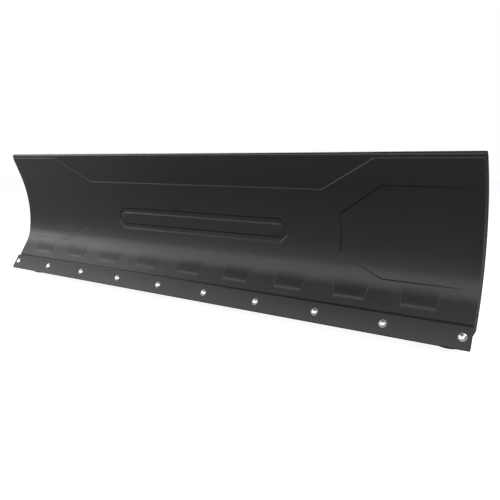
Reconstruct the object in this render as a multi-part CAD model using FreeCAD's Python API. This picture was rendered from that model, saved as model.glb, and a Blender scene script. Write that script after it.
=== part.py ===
"""ATV snow plow blade: a curved, pressed steel moldboard with a bolted wear bar, a welded back frame and two
height-set skid shoes.  Millimetres.  X runs along the blade, -Y is the ploughing face, +Z is up.
The origin is on the ground, midway along the blade and midway between its front and rear extremes.
"""

import FreeCAD
import Part

import math
import os

V = FreeCAD.Vector

# ---------------------------------------------------------------- driving dimensions
BLADE_W = 1524.0            # 60 inch blade
BLADE_H = 395.0             # bar's lower edge to top edge

BAR_ANGLE = 33.5            # wear bar leans back from vertical
BAR_H = 50.0
BAR_T = 6.0
BOLT_UP = 25.5              # bolt line above the bar's lower edge
BOLT_COUNT = 10
BOLT_END = 17.25            # last bolt from the blade's end

SKIN_T = 3.0
SKIN_FOOT = 20.0            # skin below the bolt line
SKIN_STRAIGHT = 73.5        # flat skin above the bolt line
LOWER_R = 128.0
MID_ANGLE = 8.3             # lean where the two curves meet
UPPER_R = 360.0
TOP_ANGLE = -22.3           # the top leans forward
BEND_R = 3.0                # inside radius of folded edges
TOP_FLANGE = 24.0

# pressed pattern
PANEL_DEPTH = 2.0
BAND_DROP = 13.2            # pressed line below the top edge
TRAP_DROP = 87.5            # level part of the centre panel line, below the top edge
TRAP_TOP_END = 222.0        # ends of the sloped lines, from the blade's end
TRAP_LOW_END = 359.0
HEX_FADE = 24.0             # side panel runs out this far from the blade's end
HEX_RUNOUT = 36.0           # its depth would reach nothing this much further out
HEX_CORNER = 210.0
HEX_INNER = 316.0
HEX_TOP_DROP = 73.7
HEX_UPPER_H = 70.4          # height of the upper slope
HEX_BOTTOM = 85.3           # above the bolt line
HEX_LOWER_H = 48.0
POCKET_COUNT = 9
POCKET_END = 118.0          # last pocket's centre from the blade's end
POCKET_DEPTH = 2.2          # pressed forwards at its lower edge, level with the skin at its top
POCKET_LOW = 40.0           # pocket's floor edge above the bolt line
POCKET_H = 28.0
POCKET_W_LOW = 75.0
POCKET_W_TOP = 86.0
BADGE_W = 600.0             # plain pressed bar in the middle
BADGE_H = 62.0
BADGE_MID = 176.0           # its middle above the bolt line
BADGE_CUT = 20.0            # corner cuts

# lower channel behind the bar
CHANNEL_T = 4.0
CHANNEL_FOOT = 16.0         # below the bolt line
CHANNEL_LEG = 42.0
SHELF_DEPTH = 74.0
LIP = 14.0
CHANNEL_BEND_R = 4.0
SHELF_CORNER_X = 22.0       # corner cut, so that the shelf stays inside the end ribs
SHELF_CORNER_Y = 50.0
SHELF_CORNER_START = 26.0   # from the shelf's front bend

# upper tube
TUBE = 30.0
TUBE_WALL = 2.5
TUBE_CORNER_R = 4.0
TUBE_DROP = 97.5            # tube's middle below the top edge
TUBE_GAP = 2.5              # from the skin's back

# ribs
END_RIB_T = 4.0
RIB_T = 4.0
EAR_T = 8.0
RIB_DEPTH = TUBE + 19.0     # behind the moldboard's deepest line
RIB_TOP_DEPTH = TUBE        # behind the top bend
RIB_LOW_Y = 50.0            # end ribs' lower rear corner, behind the bolt line
RIB_FOOT = 1.0              # their level foot, above the bolt line
RIB_FOOT_R = 8.0
RIB_HEAD_CUT = 5.0
RIB_HOLE_R = 17.0
SIDE_HOLE_R = 4.75
SIDE_HOLE_INSET = 13.0
MARKER_PITCH = 25.0
MARKER_DROP = 13.5
SIDE_HOLE_ANGLES = (10.0, 2.0, -13.0, -33.0)

# pivot lugs for the push frame
PIVOT_Y = 138.0             # behind the bolt line
PIVOT_Z = 60.0              # above the bolt line
PIVOT_R = 8.2               # for a 16 mm pin
LUG_R = 26.0
LUG_GAP = 52.0              # clear width between a pair
DOUBLER_R = 21.0
DOUBLER_T = 4.0
SPRING_TAB_T = 6.0
SPRING_TAB_OUT = 32.0
SPRING_HOLE_R = 5.5
SPRING_HOLE_EDGE = 12.0

# wear bar fasteners (5/16 inch carriage bolts)
HEAD_R = 9.0
HEAD_H = 4.3
NECK = 8.0
NECK_H = 4.6
NECK_GAP = 0.25
SHANK_R = 3.95
HOLE_GAP = 0.45
THREAD_OUT = 3.0            # bolt beyond the nut
NUT_AF = 12.7
NUT_H = 6.4
NUT_FLANGE_R = 8.6
NUT_FLANGE_H = 1.8
NUT_GAP = 0.05

# skid shoes
SHOE_END = 55.0             # post from the blade's end
SHOE_Y = 75.0               # post behind the bolt line
SHOE_BELOW_BAR = 25.0       # sole below the bar's lower edge
SOLE_R = 30.0
SOLE_FILLET = 2.5
RIM_R = 40.0
DISH_H = 13.0
DISH_T = 5.0
HUB_TOP = 23.0              # above the ground
POST_R = 12.5
HUB_R = POST_R + 4.5
POST_TOP_OUT = 12.0         # post above the hairpin
SPACER_T = 6.0
SPACER_R = POST_R + 6.5
LOW_SPACERS = 3
TOP_SPACERS = 2
BORE_GAP = 0.3              # post in socket and spacers
SOCKET_R = POST_R + 5.5
SOCKET_ABOVE_SHELF = 7.0
PIN_R = 2.4
PIN_GAP = 0.05
PIN_OUT = 7.0               # clip's leg beyond the post
PIN_WRAP_GAP = 0.3          # clip's outer leg from the post
SHOE_PLAY = 3.0             # the shoe's free drop
GUSSET_T = 5.0
GUSSET_FOOT = 1.5           # gussets end this far above the socket's foot
FACE_GAP = 0.02             # between faces that turn on each other

# ---------------------------------------------------------------- derived places
LEAN = math.radians(BAR_ANGLE)
UP_Y, UP_Z = math.sin(LEAN), math.cos(LEAN)          # up along the bar
BACK_Y, BACK_Z = math.cos(LEAN), -math.sin(LEAN)     # square to the bar, backwards
FRONT_Y = -BOLT_UP * UP_Y                            # foremost point, from the bolt line
REAR_Y = PIVOT_Y + LUG_R
Y0 = -(FRONT_Y + REAR_Y) / 2                         # the bolt line's own place
Z0 = SHOE_BELOW_BAR + BOLT_UP * UP_Z
HALF = BLADE_W / 2
BOLT_PITCH = (BLADE_W - 2 * BOLT_END) / (BOLT_COUNT - 1)
BOLT_X = [-HALF + BOLT_END + BOLT_PITCH * i for i in range(BOLT_COUNT)]
POCKET_PITCH = (BLADE_W - 2 * POCKET_END) / (POCKET_COUNT - 1)
POCKET_X = [-HALF + POCKET_END + POCKET_PITCH * i for i in range(POCKET_COUNT)]
EAR_X = 1.5 * POCKET_PITCH                           # lug pairs stand between pockets
RIB_X = (2.5 * POCKET_PITCH, 3.5 * POCKET_PITCH)
STACK = BAR_T + SKIN_T + CHANNEL_T                   # what the bolts clamp


def bar_point(up, back):
    """Point (y, z) that lies up along the bar from the bolt line, and back from the bar's front face."""
    return (Y0 + up * UP_Y + back * BACK_Y, Z0 + up * UP_Z + back * BACK_Z)


class Strip:
    """A bent sheet's section: its outer path is walked by straights and bends, and its wall lies behind it."""

    def __init__(self, start, lean_deg, wall):
        self.y, self.z = start
        self.lean = math.radians(lean_deg)
        self.wall = wall
        self.outer = [self._at(0)]
        self.inner = [self._at(wall)]
        self.steps = []

    def _at(self, depth):
        return (self.y + depth * math.cos(self.lean), self.z - depth * math.sin(self.lean))

    def straight(self, length):
        self.y += length * math.sin(self.lean)
        self.z += length * math.cos(self.lean)
        self.steps.append(None)
        self.outer.append(self._at(0))
        self.inner.append(self._at(self.wall))
        return self

    def bend(self, radius, to_deg):
        """Turns to a new lean.  radius is the outer path's own."""
        target = math.radians(to_deg)
        side = 1 if target > self.lean else -1
        cy = self.y + side * radius * math.cos(self.lean)
        cz = self.z - side * radius * math.sin(self.lean)
        middle = (self.lean + target) / 2
        mids = []
        for depth in (0, self.wall):
            r = radius - side * depth
            mids.append((cy - side * r * math.cos(middle), cz + side * r * math.sin(middle)))
        self.lean = target
        self.y = cy - side * radius * math.cos(target)
        self.z = cz + side * radius * math.sin(target)
        self.steps.append(mids)
        self.outer.append(self._at(0))
        self.inner.append(self._at(self.wall))
        return self

    def edges(self, which, x):
        """Edges of one face's path at x: 0 is the outer face, 1 the inner."""
        points = (self.outer, self.inner)[which]
        made = []
        for i, mids in enumerate(self.steps):
            a, b = (V(x, *points[i]), V(x, *points[i + 1]))
            if mids is None:
                made.append(Part.LineSegment(a, b).toShape())
            else:
                made.append(Part.Arc(a, V(x, *mids[which]), b).toShape())
        return made

    def solid(self, x_low, x_high):
        edges = self.edges(0, x_low) + self.edges(1, x_low)
        for i in (0, -1):
            edges.append(Part.LineSegment(V(x_low, *self.outer[i]), V(x_low, *self.inner[i])).toShape())
        face = Part.Face(Part.Wire(Part.__sortEdges__(edges)))
        return face.extrude(V(x_high - x_low, 0, 0))

    def behind(self, x_low, x_high, far_y):
        """Everything behind the strip's inner face, back to far_y."""
        first, last = self.inner[0], self.inner[-1]
        edges = self.edges(1, x_low)
        corners = [first, (far_y, first[1]), (far_y, last[1]), last]
        for a, b in zip(corners, corners[1:]):
            edges.append(Part.LineSegment(V(x_low, *a), V(x_low, *b)).toShape())
        face = Part.Face(Part.Wire(Part.__sortEdges__(edges)))
        return face.extrude(V(x_high - x_low, 0, 0))


def moldboard_strip():
    """The moldboard's section up to its top bend."""
    strip = Strip(bar_point(-SKIN_FOOT, BAR_T), BAR_ANGLE, SKIN_T)
    strip.straight(SKIN_FOOT + SKIN_STRAIGHT)
    strip.bend(LOWER_R, MID_ANGLE)
    strip.bend(UPPER_R, TOP_ANGLE)
    bend_rise = (BEND_R + SKIN_T) * (1 - math.sin(strip.lean))
    rest = SHOE_BELOW_BAR + BLADE_H - strip.z - bend_rise
    return strip.straight(rest / math.cos(strip.lean))


SKIN = moldboard_strip()
SKIN.bend(BEND_R + SKIN_T, 90.0)
SKIN.straight(TOP_FLANGE)
TOP_Z = SKIN.z
TOP_Y = SKIN.y - TOP_FLANGE
DEEP_Y = max(p[0] for p in SKIN.outer[:4])
for bent in SKIN.steps[1:3]:
    DEEP_Y = max(DEEP_Y, bent[0][0])


def box(x, y, z):
    """Box between pairs of limits."""
    return Part.makeBox(x[1] - x[0], y[1] - y[0], z[1] - z[0], V(x[0], y[0], z[0]))


def prism_y(points, y_low, y_high):
    """Polygon in X and Z, drawn out along Y."""
    wire = Part.makePolygon([V(x, y_low, z) for x, z in points + points[:1]])
    return Part.Face(wire).extrude(V(0, y_high - y_low, 0))


def mirrored(shape):
    """The same shape on the other half of the blade."""
    return shape.mirror(V(0, 0, 0), V(1, 0, 0))


def press(sheet, moved, region):
    """Sheet with the region taken from a moved copy of it, as a half-pierced panel is."""
    return sheet.cut(region).fuse(moved.common(region))


# ---------------------------------------------------------------- moldboard and wear bar
def moldboard():
    plain = SKIN.solid(-HALF, HALF)
    near, far = Y0 - 60, REAR_Y
    sheet = plain

    band_z, trap_z = TOP_Z - BAND_DROP, TOP_Z - TRAP_DROP
    top = TOP_Z + 20
    out, slope, low = HALF + 10, HALF - TRAP_TOP_END, HALF - TRAP_LOW_END
    above = [(-out, band_z), (-slope, band_z), (-low, trap_z), (low, trap_z), (slope, band_z), (out, band_z),
             (out, top), (-out, top)]
    back = plain.copy()
    back.translate(V(0, PANEL_DEPTH, 0))
    sheet = press(sheet, back, prism_y(above, near, far))

    fade, corner, inner = HALF - HEX_FADE, HALF - HEX_CORNER, HALF - HEX_INNER
    hex_top, hex_low = TOP_Z - HEX_TOP_DROP, Z0 + HEX_BOTTOM
    side = [(fade, hex_top), (corner, hex_top), (inner, hex_top - HEX_UPPER_H), (inner, hex_low + HEX_LOWER_H),
            (corner, hex_low), (fade, hex_low)]
    swing = math.degrees(PANEL_DEPTH / (fade + HEX_RUNOUT - inner))
    turned = plain.copy()
    turned.rotate(V(fade + HEX_RUNOUT, DEEP_Y, 0), V(0, 0, 1), -swing)
    sheet = press(sheet, turned, prism_y(side, near, far))
    sheet = press(sheet, mirrored(turned), mirrored(prism_y(side, near, far)))

    low_z = Z0 + POCKET_LOW
    hinge = bar_point((POCKET_LOW + POCKET_H) / UP_Z, BAR_T)
    tip = math.degrees(POCKET_DEPTH / (POCKET_H / UP_Z))
    tipped = plain.copy()
    tipped.rotate(V(0, hinge[0], low_z + POCKET_H), V(1, 0, 0), -tip)
    for x in POCKET_X:
        pocket = [(x - POCKET_W_LOW / 2, low_z), (x + POCKET_W_LOW / 2, low_z),
                  (x + POCKET_W_TOP / 2, low_z + POCKET_H), (x - POCKET_W_TOP / 2, low_z + POCKET_H)]
        sheet = press(sheet, tipped, prism_y(pocket, near, far))

    w, h, c = BADGE_W / 2, BADGE_H / 2, BADGE_CUT
    mid = Z0 + BADGE_MID
    badge = [(-w, mid - h + c), (-w + c, mid - h), (w - c, mid - h), (w, mid - h + c),
             (w, mid + h - c), (w - c, mid + h), (-w + c, mid + h), (-w, mid + h - c)]
    sheet = press(sheet, back, prism_y(badge, near, far))
    for x in BOLT_X:
        sheet = sheet.cut(bolt_cylinder(x, SHANK_R + HOLE_GAP, 0, STACK))
    return sheet.removeSplitter()


def bolt_cylinder(x, radius, back_from, back_to):
    """Cylinder square to the bar, on the bolt line."""
    y, z = bar_point(0, back_from)
    return Part.makeCylinder(radius, back_to - back_from, V(x, y, z), V(0, BACK_Y, BACK_Z))


def bar_box(x, up, back):
    """Box in the bar's own directions: limits in x, up along the bar, and back from its front face."""
    block = box(x, back, up)
    block.rotate(V(0, 0, 0), V(1, 0, 0), -BAR_ANGLE)
    block.translate(V(0, Y0, Z0))
    return block


def wear_bar():
    bar = bar_box((-HALF, HALF), (-BOLT_UP, BAR_H - BOLT_UP), (0, BAR_T))
    half_neck = NECK / 2 + NECK_GAP
    for x in BOLT_X:
        bar = bar.cut(bar_box((x - half_neck, x + half_neck), (-half_neck, half_neck), (-1, BAR_T + 1)))
    return bar


def carriage_bolt(x):
    dome_r = (HEAD_R ** 2 + HEAD_H ** 2) / (2 * HEAD_H)
    y, z = bar_point(0, dome_r - HEAD_H)
    dome = Part.makeSphere(dome_r, V(x, y, z))
    head = dome.common(bolt_cylinder(x, HEAD_R, -HEAD_H - 1, 0))
    neck = bar_box((x - NECK / 2, x + NECK / 2), (-NECK / 2, NECK / 2), (0, NECK_H))
    shank = bolt_cylinder(x, SHANK_R, NECK_H, STACK + NUT_H + THREAD_OUT)
    tip_y, tip_z = bar_point(0, STACK + NUT_H + THREAD_OUT)
    tip = Part.makeCone(SHANK_R, SHANK_R - 1.0, 1.0, V(x, tip_y, tip_z), V(0, BACK_Y, BACK_Z))
    return head.fuse([neck, shank, tip]).removeSplitter()


def flange_nut(x):
    corner_r = NUT_AF / math.sqrt(3)
    corners = [V(x + corner_r * math.cos(math.radians(60 * k)), 0, corner_r * math.sin(math.radians(60 * k)))
               for k in range(7)]
    hexagon = Part.Face(Part.makePolygon([V(c.x, 0, c.z) for c in corners])).extrude(V(0, NUT_H, 0))
    crown = Part.makeCone(corner_r + NUT_H - 1.0, corner_r - 1.0, NUT_H, V(x, 0, 0), V(0, 1, 0))
    hexagon = hexagon.common(crown)
    nut = hexagon.fuse(Part.makeCylinder(NUT_FLANGE_R, NUT_FLANGE_H, V(x, 0, 0), V(0, 1, 0)))
    nut = nut.cut(Part.makeCylinder(SHANK_R + NUT_GAP, NUT_H * 3, V(x, -NUT_H, 0), V(0, 1, 0)))
    nut.rotate(V(0, 0, 0), V(1, 0, 0), -BAR_ANGLE)
    y, z = bar_point(0, STACK)
    nut.translate(V(0, y, z))
    return nut


# ---------------------------------------------------------------- back frame
def channel_strip():
    strip = Strip(bar_point(-CHANNEL_FOOT, BAR_T + SKIN_T), BAR_ANGLE, CHANNEL_T)
    strip.straight(CHANNEL_LEG)
    strip.bend(CHANNEL_BEND_R + CHANNEL_T, 90.0)
    strip.straight(SHELF_DEPTH)
    strip.bend(CHANNEL_BEND_R + CHANNEL_T, 180.0)
    strip.straight(LIP)
    return strip


CHANNEL = channel_strip()
SHELF_Z = CHANNEL.outer[3][1]
SHELF_REAR = CHANNEL.outer[3][0]
SHOE_X = HALF - SHOE_END
POST_Y = Y0 + SHOE_Y
SOCKET_LOW = HUB_TOP + LOW_SPACERS * SPACER_T + 2 * FACE_GAP
SOCKET_TOP = SHELF_Z + SOCKET_ABOVE_SHELF
PIN_Z = SOCKET_TOP + TOP_SPACERS * SPACER_T + SHOE_PLAY + PIN_R + 2 * FACE_GAP


def lower_channel():
    inside = HALF - END_RIB_T
    channel = CHANNEL.solid(-inside, inside)
    rear = Y0 + REAR_Y
    start = CHANNEL.outer[2][0] + SHELF_CORNER_START
    corner = Part.makePolygon([V(inside + 1, start, 0), V(inside + 1, rear, 0), V(inside - SHELF_CORNER_X, rear, 0),
                               V(inside - SHELF_CORNER_X, start + SHELF_CORNER_Y, 0), V(inside + 1, start, 0)])
    wedge = Part.Face(corner).extrude(V(0, 0, SHELF_Z + 20))
    channel = channel.cut(wedge).cut(mirrored(wedge))
    for x in BOLT_X:
        channel = channel.cut(bolt_cylinder(x, SHANK_R + HOLE_GAP, BAR_T, STACK + 1))
    for x in (-SHOE_X, SHOE_X):
        channel = channel.cut(Part.makeCylinder(SOCKET_R, SHELF_Z, V(x, POST_Y, SHELF_Z - 20), V(0, 0, 1)))
    return channel


TUBE_MID_Z = TOP_Z - TUBE_DROP


def skin_back_y(z):
    """The plain skin's back face at a height on the upper curve."""
    mid_y, mid_z = SKIN.outer[3]
    top_lean = math.radians(TOP_ANGLE)
    cy = mid_y - UPPER_R * math.cos(top_lean)
    cz = mid_z + UPPER_R * math.sin(top_lean)
    r = UPPER_R + SKIN_T
    return cy + math.sqrt(r * r - (z - cz) ** 2)


TUBE_FRONT = skin_back_y(TUBE_MID_Z - TUBE / 2) + TUBE_GAP
TUBE_REAR = TUBE_FRONT + TUBE


def rounded_bar(size, corner, length):
    """Square bar along X with rounded long edges, centred on the origin's line."""
    block = Part.makeBox(length, size, size, V(-length / 2, -size / 2, -size / 2))
    long_edges = [e for e in block.Edges if e.Length > length - 1]
    return block.makeFillet(corner, long_edges)


def upper_tube():
    length = BLADE_W - 2 * END_RIB_T
    inner_size = TUBE - 2 * TUBE_WALL
    inner = rounded_bar(inner_size, TUBE_CORNER_R - TUBE_WALL, length + 2)
    tube = rounded_bar(TUBE, TUBE_CORNER_R, length).cut(inner)
    tube.translate(V(0, TUBE_FRONT + TUBE / 2, TUBE_MID_Z))
    return tube


def rear_arc():
    """Three points (y, z) that the ribs' rear edges pass through: low, deepest and top."""
    low = (Y0 + RIB_LOW_Y, Z0 + RIB_FOOT)
    top = (TOP_Y + RIB_TOP_DEPTH, TOP_Z - SKIN_T)
    deep = (DEEP_Y + RIB_DEPTH, (low[1] + top[1]) / 2)
    return low, deep, top


def arc_circle(a, b, c):
    """Centre (y, z) and radius of the circle through three points."""
    (ay, az), (by, bz), (cy, cz) = a, b, c
    d = 2 * (ay * (bz - cz) + by * (cz - az) + cy * (az - bz))
    ka, kb, kc = ay ** 2 + az ** 2, by ** 2 + bz ** 2, cy ** 2 + cz ** 2
    oy = (ka * (bz - cz) + kb * (cz - az) + kc * (az - bz)) / d
    oz = (ka * (cy - by) + kb * (ay - cy) + kc * (by - ay)) / d
    return (oy, oz), math.hypot(ay - oy, az - oz)


REAR_C, REAR_R = arc_circle(*rear_arc())


def rear_point(z, inset=0.0):
    """Point on the rear arc at a height, moved in towards the skin."""
    r = REAR_R - inset
    return (REAR_C[0] + math.sqrt(r * r - (z - REAR_C[1]) ** 2), z)


def plate(edges, x, thick):
    """Closed outline in Y and Z made a plate centred on x."""
    face = Part.Face(Part.Wire(Part.__sortEdges__(edges)))
    solid = face.extrude(V(thick, 0, 0))
    solid.translate(V(x - thick / 2, 0, 0))
    return solid


def line(a, b):
    return Part.LineSegment(V(0, *a), V(0, *b)).toShape()


def arc(a, mid, b):
    return Part.Arc(V(0, *a), V(0, *mid), V(0, *b)).toShape()


def tangent(point, centre, radius, side):
    """Where a line from point touches a circle; side picks one of the two."""
    dy, dz = point[0] - centre[0], point[1] - centre[1]
    distance = math.hypot(dy, dz)
    turn = math.atan2(dz, dy) + side * math.acos(radius / distance)
    return (centre[0] + radius * math.cos(turn), centre[1] + radius * math.sin(turn))


def cross_edges(solid, point):
    """A plate's edges through its thickness at a corner (y, z)."""
    found = []
    for e in solid.Edges:
        centre = e.CenterOfMass
        if math.hypot(centre.y - point[0], centre.z - point[1]) < 0.01:
            found.append(e)
    return found


def fitted(blank, skin, channel, tube_bar):
    """A rib blank trimmed to what it is welded against."""
    room = moldboard_strip().behind(-HALF, HALF, Y0 + REAR_Y + 20)
    under_fold = box((-HALF, HALF), (TOP_Y, Y0 + REAR_Y + 20), (TOP_Z - 3 * SKIN_T, TOP_Z - SKIN_T))
    rib = blank.common(room.fuse(under_fold)).cut(skin).cut(channel)
    if tube_bar is not None:
        rib = rib.cut(tube_bar)
    return rib


def tube_nest():
    """The tube's outer shape, drawn forward into the skin, as the ribs' notches need it."""
    length = BLADE_W
    bar = rounded_bar(TUBE, TUBE_CORNER_R, length)
    bar.translate(V(0, TUBE_FRONT + TUBE / 2, TUBE_MID_Z))
    ahead = box((-length / 2, length / 2), (TUBE_FRONT - 30, TUBE_FRONT + TUBE_CORNER_R),
                (TUBE_MID_Z - TUBE / 2, TUBE_MID_Z + TUBE / 2))
    return bar.fuse(ahead)


def rib_outline(low_z):
    """Plain rib: a level foot, the rear arc and a level head."""
    foot_rear, head_rear = rear_point(low_z), rear_arc()[2]
    middle = rear_point((low_z + head_rear[1]) / 2)
    front = Y0 - 20
    head_front = (front, head_rear[1])
    foot_front = (front, low_z)
    return [line(foot_front, foot_rear), arc(foot_rear, middle, head_rear), line(head_rear, head_front),
            line(head_front, foot_front)]


def inner_rib(x, skin, channel, nest):
    blank = plate(rib_outline(SHELF_Z), x, RIB_T)
    for share in (0.25, 0.5):
        z = SHELF_Z + (TOP_Z - SHELF_Z) * share + 12
        y = rear_point(z)[0] - RIB_DEPTH / 2 + 1
        blank = blank.cut(Part.makeCylinder(RIB_HOLE_R * 0.75, 2 * RIB_T, V(x - RIB_T, y, z), V(1, 0, 0)))
    return fitted(blank, skin, channel, nest)


def end_rib(side, skin, channel):
    """Slim curved end plate with holes for markers and side plates."""
    low, _, head_rear = rear_arc()
    middle = rear_point((low[1] + head_rear[1]) / 2)
    front = Y0 - 20
    edges = [line((front, low[1]), low), arc(low, middle, head_rear), line(head_rear, (front, head_rear[1])),
             line((front, head_rear[1]), (front, low[1]))]
    x = side * (HALF - END_RIB_T / 2)
    rib = plate(edges, x, END_RIB_T)
    rib = rib.makeFillet(RIB_FOOT_R, cross_edges(rib, low))
    rib = rib.makeChamfer(RIB_HEAD_CUT, cross_edges(rib, head_rear))
    for y, z in side_holes():
        rib = rib.cut(Part.makeCylinder(SIDE_HOLE_R, 3 * END_RIB_T, V(x - 1.5 * END_RIB_T, y, z), V(1, 0, 0)))
    return fitted(rib, skin, channel, None)


def side_holes():
    """Centres (y, z): a level pair for a marker near the top, then single holes down the rear edge."""
    top_z = TOP_Z - MARKER_DROP
    marker_y = rear_point(top_z)[0] - SIDE_HOLE_INSET
    found = [(marker_y, top_z), (marker_y, top_z - MARKER_PITCH)]
    r = REAR_R - SIDE_HOLE_INSET
    for angle in SIDE_HOLE_ANGLES:
        t = math.radians(angle)
        found.append((REAR_C[0] + r * math.cos(t), REAR_C[1] + r * math.sin(t)))
    return found


PIVOT = (Y0 + PIVOT_Y, Z0 + PIVOT_Z)


def mount_ear(x, skin, channel, nest):
    """Deep rib with the pivot lug for the push frame."""
    head_rear = rear_arc()[2]
    blend = rear_point(REAR_C[1] + 45)
    foot = (SHELF_REAR - 2, SHELF_Z)
    upper = tangent(blend, PIVOT, LUG_R, -1)
    lower = tangent(foot, PIVOT, LUG_R, 1)
    front = Y0 - 20
    middle = rear_point((blend[1] + head_rear[1]) / 2)
    edges = [line((front, SHELF_Z), foot), line(foot, lower), arc(lower, (PIVOT[0] + LUG_R, PIVOT[1]), upper),
             line(upper, blend), arc(blend, middle, head_rear), line(head_rear, (front, head_rear[1])),
             line((front, head_rear[1]), (front, SHELF_Z))]
    blank = plate(edges, x, EAR_T)
    blank = blank.cut(Part.makeCylinder(PIVOT_R, 2 * EAR_T, V(x - EAR_T, *PIVOT), V(1, 0, 0)))
    hole_z = REAR_C[1] + 6
    hole_y = rear_point(hole_z)[0] - RIB_DEPTH / 2 + 4
    blank = blank.cut(Part.makeCylinder(RIB_HOLE_R, 2 * EAR_T, V(x - EAR_T, hole_y, hole_z), V(1, 0, 0)))
    return fitted(blank, skin, channel, nest)


def doubler(x):
    ring = Part.makeCylinder(DOUBLER_R, DOUBLER_T, V(x - DOUBLER_T / 2, *PIVOT), V(1, 0, 0))
    return ring.cut(Part.makeCylinder(PIVOT_R, 2 * DOUBLER_T, V(x - DOUBLER_T, *PIVOT), V(1, 0, 0)))


def spring_tab(x):
    """Plate on the tube's rear face that a trip spring hooks into."""
    z_low, z_high = TUBE_MID_Z - TUBE / 2 + TUBE_CORNER_R, TUBE_MID_Z + TUBE / 2 - TUBE_CORNER_R
    hole = (TUBE_REAR + SPRING_TAB_OUT - SPRING_HOLE_EDGE, TUBE_MID_Z)
    upper = tangent((TUBE_REAR, z_high), hole, SPRING_HOLE_EDGE, -1)
    lower = tangent((TUBE_REAR, z_low), hole, SPRING_HOLE_EDGE, 1)
    edges = [line((TUBE_REAR, z_low), lower), arc(lower, (hole[0] + SPRING_HOLE_EDGE, hole[1]), upper),
             line(upper, (TUBE_REAR, z_high)), line((TUBE_REAR, z_high), (TUBE_REAR, z_low))]
    tab = plate(edges, x, SPRING_TAB_T)
    return tab.cut(Part.makeCylinder(SPRING_HOLE_R, 2 * SPRING_TAB_T, V(x - SPRING_TAB_T, *hole), V(1, 0, 0)))


# ---------------------------------------------------------------- skid shoes
def upright(x, radius, z_low, z_high):
    return Part.makeCylinder(radius, z_high - z_low, V(x, POST_Y, z_low), V(0, 0, 1))


def ring(x, outer, inner, z_low, z_high):
    return upright(x, outer, z_low, z_high).cut(upright(x, inner, z_low - 1, z_high + 1))


def shoe_socket(x):
    return ring(x, SOCKET_R, POST_R + BORE_GAP, SOCKET_LOW, SOCKET_TOP)


def socket_gussets(x, channel):
    """Plates under the shelf, in front of the socket and behind it."""
    floor = SOCKET_LOW + GUSSET_FOOT
    blank = box((x - GUSSET_T / 2, x + GUSSET_T / 2), (Y0, SHELF_REAR + CHANNEL_BEND_R), (floor, SHELF_Z))
    blank = blank.cut(upright(x, SOCKET_R, 0, SHELF_Z + 20)).cut(channel)
    front = bar_point(0, STACK)[0]
    side = x - GUSSET_T
    slope = Part.makePolygon([V(side, front - 40, floor - 1), V(side, POST_Y - SOCKET_R - 6, floor - 1),
                              V(side, front - 40, SHELF_Z - CHANNEL_T - 4), V(side, front - 40, floor - 1)])
    blank = blank.cut(Part.Face(slope).extrude(V(2 * GUSSET_T, 0, 0)))
    under = SHELF_Z - CHANNEL_T / 2
    kept = [s for s in blank.Solids if s.CenterOfMass.z < under and s.CenterOfMass.y > front]
    return Part.makeCompound(kept)


def shoe_dish(x):
    """Pressed round sole: flat foot, coned rim, and a hub that carries the post."""
    outline = [V(0, 0, 0), V(SOLE_R, 0, 0), V(RIM_R, 0, DISH_H), V(RIM_R - DISH_T, 0, DISH_H),
               V(SOLE_R - DISH_T * 0.55, 0, DISH_T), V(HUB_R, 0, DISH_T), V(HUB_R - 2, 0, HUB_TOP),
               V(0, 0, HUB_TOP)]
    face = Part.Face(Part.makePolygon(outline + outline[:1]))
    dish = face.revolve(V(0, 0, 0), V(0, 0, 1), 360)
    foot_edges = [e for e in dish.Edges if abs(e.BoundBox.ZMax) < 0.01 and e.BoundBox.XLength > SOLE_R]
    dish = dish.makeFillet(SOLE_FILLET, foot_edges)
    dish = dish.cut(Part.makeCylinder(POST_R, HUB_TOP, V(0, 0, DISH_T), V(0, 0, 1)))
    dish.translate(V(x, POST_Y, 0))
    return dish


def shoe_post(x):
    top = PIN_Z + POST_TOP_OUT
    post = upright(x, POST_R, DISH_T, top)
    rim = [e for e in post.Edges if abs(e.BoundBox.ZMin - top) < 0.01]
    post = post.makeChamfer(1.5, rim)
    return post.cut(Part.makeCylinder(PIN_R + PIN_GAP, 4 * POST_R, V(x - 2 * POST_R, POST_Y, PIN_Z), V(1, 0, 0)))


def spacers(x, count, start):
    """Loose washers on the post, face to face."""
    made = []
    for k in range(count):
        low = start + k * SPACER_T
        washer = ring(x, SPACER_R, POST_R + BORE_GAP, low, low + SPACER_T)
        made.append(washer)
    return Part.makeCompound(made)


def hairpin(x):
    """Spring-wire clip: a straight leg through the post and a second leg along its outside."""
    reach = POST_R + PIN_OUT
    side = POST_R + PIN_R + PIN_WRAP_GAP
    straight = Part.makeCylinder(PIN_R, 2 * reach, V(x - reach, POST_Y, PIN_Z), V(1, 0, 0))
    eye_r = side / 2
    loop_c = V(x - reach, POST_Y + eye_r, PIN_Z)
    path = [Part.Arc(V(x - reach, POST_Y, PIN_Z), loop_c + V(-eye_r, 0, 0), V(x - reach, POST_Y + side, PIN_Z)).toShape(),
            Part.LineSegment(V(x - reach, POST_Y + side, PIN_Z), V(x + POST_R * 0.6, POST_Y + side, PIN_Z)).toShape()]
    section = Part.Wire([Part.Circle(V(x - reach, POST_Y, PIN_Z), V(1, 0, 0), PIN_R).toShape()])
    leg = Part.Wire(path).makePipeShell([section], True, False)
    return straight.fuse(leg).removeSplitter()


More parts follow.
